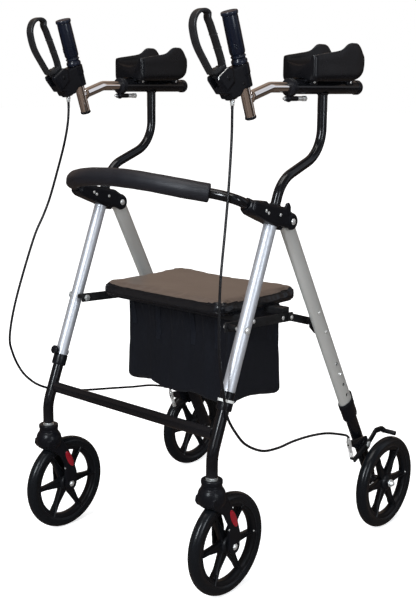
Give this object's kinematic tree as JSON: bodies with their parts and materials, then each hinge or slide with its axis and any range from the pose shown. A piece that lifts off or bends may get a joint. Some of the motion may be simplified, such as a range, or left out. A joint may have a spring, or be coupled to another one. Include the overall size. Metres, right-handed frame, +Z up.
{
  "type": "gutter arm rollator",
  "caption": "Folding wheeled walking aid with padded forearm gutters, upright grips with loop brake levers, seat, bag and caster front wheels.",
  "frame": {"origin": "on the floor, under the middle of the walker's box", "axes": "+X the user's left, +Y the user's back, +Z up; the wheels roll about X"},
  "size_m": [0.6066, 0.668, 1.0713],
  "materials": {
    "silver_tube": "satin silver",
    "satin_tube": "matt silver",
    "black_metal": "gloss black",
    "black_plastic": "satin black",
    "tyre": "satin black",
    "chrome": "bright",
    "zinc": "zinc plated",
    "foam": "soft foam",
    "vinyl": "satin",
    "bag_cloth": "woven",
    "cable": "smooth"
  },
  "bodies": {
    "front_frame": {"front_leg_left": "silver_tube", "front_leg_right": "silver_tube", "top_bracket_left": "black_plastic", "top_bracket_right": "black_plastic", "front_collar_left": "black_plastic", "front_collar_right": "black_plastic", "cable_clip": "zinc", "backrest_bar": "black_metal", "backrest_foam": "foam", "brake_cable_left": "cable", "brake_cable_right": "cable"},
    "leg_knob": {"leg_knob": "black_plastic"},
    "lower_front": {"lower_front_tube_left": "black_metal", "lower_front_tube_right": "black_metal", "crossbar": "black_metal"},
    "rear_frame": {"rear_leg_left": "satin_tube", "rear_leg_right": "satin_tube", "rear_collar_left": "black_plastic", "rear_collar_right": "black_plastic"},
    "seat": {"seat_frame": "black_metal", "seat_pad": "vinyl", "bag": "bag_cloth"},
    "rear_links": {"rear_link_left": "black_metal", "rear_link_right": "black_metal"},
    "caster_left": {"caster_fork_left": "black_plastic", "front_axle_left": "zinc"},
    "front_wheel_left": {"front_wheel_left": "tyre"},
    "lower_rear_left": {"lower_rear_leg_left": "black_metal", "rear_axle_left": "zinc", "brake_spring_left": "zinc"},
    "rear_wheel_left": {"rear_wheel_left": "tyre"},
    "brake_arm_left": {"brake_arm_left": "black_metal"},
    "height_button_left": {"height_button_left": "zinc"},
    "arm_left": {"arm_post_left": "black_metal", "forearm_tube_left": "black_metal", "forearm_gutter_left": "black_plastic"},
    "handle_left": {"front_ring_left": "black_plastic", "guide_rod_left": "zinc", "handle_tube_left": "chrome", "grip_left": "black_plastic", "brake_housing_left": "black_plastic"},
    "brake_lever_left": {"brake_lever_left": "black_plastic"},
    "caster_right": {"caster_fork_right": "black_plastic", "front_axle_right": "zinc"},
    "front_wheel_right": {"front_wheel_right": "tyre"},
    "lower_rear_right": {"lower_rear_leg_right": "black_metal", "rear_axle_right": "zinc", "brake_spring_right": "zinc"},
    "rear_wheel_right": {"rear_wheel_right": "tyre"},
    "brake_arm_right": {"brake_arm_right": "black_metal"},
    "height_button_right": {"height_button_right": "zinc"},
    "arm_right": {"arm_post_right": "black_metal", "forearm_tube_right": "black_metal", "forearm_gutter_right": "black_plastic"},
    "handle_right": {"front_ring_right": "black_plastic", "guide_rod_right": "zinc", "handle_tube_right": "chrome", "grip_right": "black_plastic", "brake_housing_right": "black_plastic"},
    "brake_lever_right": {"brake_lever_right": "black_plastic"}
  },
  "joints": [
    {"name": "leg_knob_turn", "type": "hinge", "parent": "front_frame", "child": "leg_knob", "pos_m": [-0.23, -0.24598, 0.39495], "axis": [0, -0.9323, 0.3616], "continuous": true},
    {"name": "front_height", "type": "slide", "parent": "front_frame", "child": "lower_front", "axis": [0, -0.3616, -0.9323], "range_m": [-0.0278, 0.0556]},
    {"name": "rear_fold", "type": "hinge", "parent": "front_frame", "child": "rear_frame", "pos_m": [0, -0.07004, 0.69396], "axis": [1, 0, 0], "range_deg": [-26, 0], "deforming": ["brake_cable_left", "brake_cable_right"]},
    {"name": "seat_fold", "type": "hinge", "parent": "front_frame", "child": "seat", "pos_m": [0, -0.194, 0.505], "axis": [1, 0, 0], "range_deg": [-8.2, 0]},
    {"name": "link_fold", "type": "hinge", "parent": "rear_frame", "child": "rear_links", "pos_m": [0, 0.04348, 0.47859], "axis": [1, 0, 0], "range_deg": [-119, 0]},
    {"name": "caster_swivel_left", "type": "hinge", "parent": "lower_front", "child": "caster_left", "pos_m": [0.23, -0.275, 0.2], "axis": [0, 0, 1], "continuous": true},
    {"name": "front_wheel_spin_left", "type": "hinge", "parent": "caster_left", "child": "front_wheel_left", "pos_m": [0.23, -0.234, 0.1], "axis": [1, 0, 0], "continuous": true},
    {"name": "rear_height_left", "type": "slide", "parent": "rear_frame", "child": "lower_rear_left", "axis": [0.02, 0.4662, -0.8844], "range_m": [-0.0278, 0.0556]},
    {"name": "rear_wheel_spin_left", "type": "hinge", "parent": "lower_rear_left", "child": "rear_wheel_left", "pos_m": [0.283, 0.234, 0.1], "axis": [1, 0, 0], "continuous": true},
    {"name": "brake_turn_left", "type": "hinge", "parent": "lower_rear_left", "child": "brake_arm_left", "pos_m": [0.23938, 0.19523, 0.19071], "axis": [-1, 0, 0], "range_deg": [0, 2.6], "deforming": ["brake_spring_left"]},
    {"name": "height_button_press_left", "type": "slide", "parent": "rear_frame", "child": "height_button_left", "axis": [-1, 0, 0], "range_m": [0, 0.0035], "stiffness_N_per_m": 200, "springref_m": -0.004},
    {"name": "arm_height_left", "type": "slide", "parent": "front_frame", "child": "arm_left", "axis": [0, 0.3616, 0.9323], "range_m": [0, 0.1]},
    {"name": "handle_reach_left", "type": "slide", "parent": "arm_left", "child": "handle_left", "axis": [-0.0541, -0.9985, 0], "range_m": [0, 0.03]},
    {"name": "brake_squeeze_left", "type": "hinge", "parent": "handle_left", "child": "brake_lever_left", "pos_m": [0.21503, -0.23938, 0.95509], "axis": [-0.9985, 0.0541, 0], "range_deg": [0, 14], "stiffness_Nm_per_rad": 1, "springref_deg": -8.59},
    {"name": "caster_swivel_right", "type": "hinge", "parent": "lower_front", "child": "caster_right", "pos_m": [-0.23, -0.275, 0.2], "axis": [0, 0, 1], "continuous": true},
    {"name": "front_wheel_spin_right", "type": "hinge", "parent": "caster_right", "child": "front_wheel_right", "pos_m": [-0.23, -0.234, 0.1], "axis": [1, 0, 0], "continuous": true},
    {"name": "rear_height_right", "type": "slide", "parent": "rear_frame", "child": "lower_rear_right", "axis": [-0.02, 0.4662, -0.8844], "range_m": [-0.0278, 0.0556]},
    {"name": "rear_wheel_spin_right", "type": "hinge", "parent": "lower_rear_right", "child": "rear_wheel_right", "pos_m": [-0.283, 0.234, 0.1], "axis": [1, 0, 0], "continuous": true},
    {"name": "brake_turn_right", "type": "hinge", "parent": "lower_rear_right", "child": "brake_arm_right", "pos_m": [-0.23938, 0.19523, 0.19071], "axis": [-1, 0, 0], "range_deg": [0, 2.6], "deforming": ["brake_spring_right"]},
    {"name": "height_button_press_right", "type": "slide", "parent": "rear_frame", "child": "height_button_right", "axis": [1, 0, 0], "range_m": [0, 0.0035], "stiffness_N_per_m": 200, "springref_m": -0.004},
    {"name": "arm_height_right", "type": "slide", "parent": "front_frame", "child": "arm_right", "axis": [0, 0.3616, 0.9323], "range_m": [0, 0.1]},
    {"name": "handle_reach_right", "type": "slide", "parent": "arm_right", "child": "handle_right", "axis": [0.0541, -0.9985, 0], "range_m": [0, 0.03]},
    {"name": "brake_squeeze_right", "type": "hinge", "parent": "handle_right", "child": "brake_lever_right", "pos_m": [-0.21503, -0.23938, 0.95509], "axis": [-0.9985, -0.0541, 0], "range_deg": [0, 14], "stiffness_Nm_per_rad": 1, "springref_deg": -8.59}
  ],
  "couplings": [
    {"joint": "seat_fold", "follows": "rear_fold", "ratio": 0.3146},
    {"joint": "link_fold", "follows": "rear_fold", "ratio": 4.571},
    {"joint": "brake_turn_left", "follows": "brake_squeeze_left", "ratio": 0.18},
    {"joint": "brake_turn_right", "follows": "brake_squeeze_right", "ratio": 0.18}
  ]
}
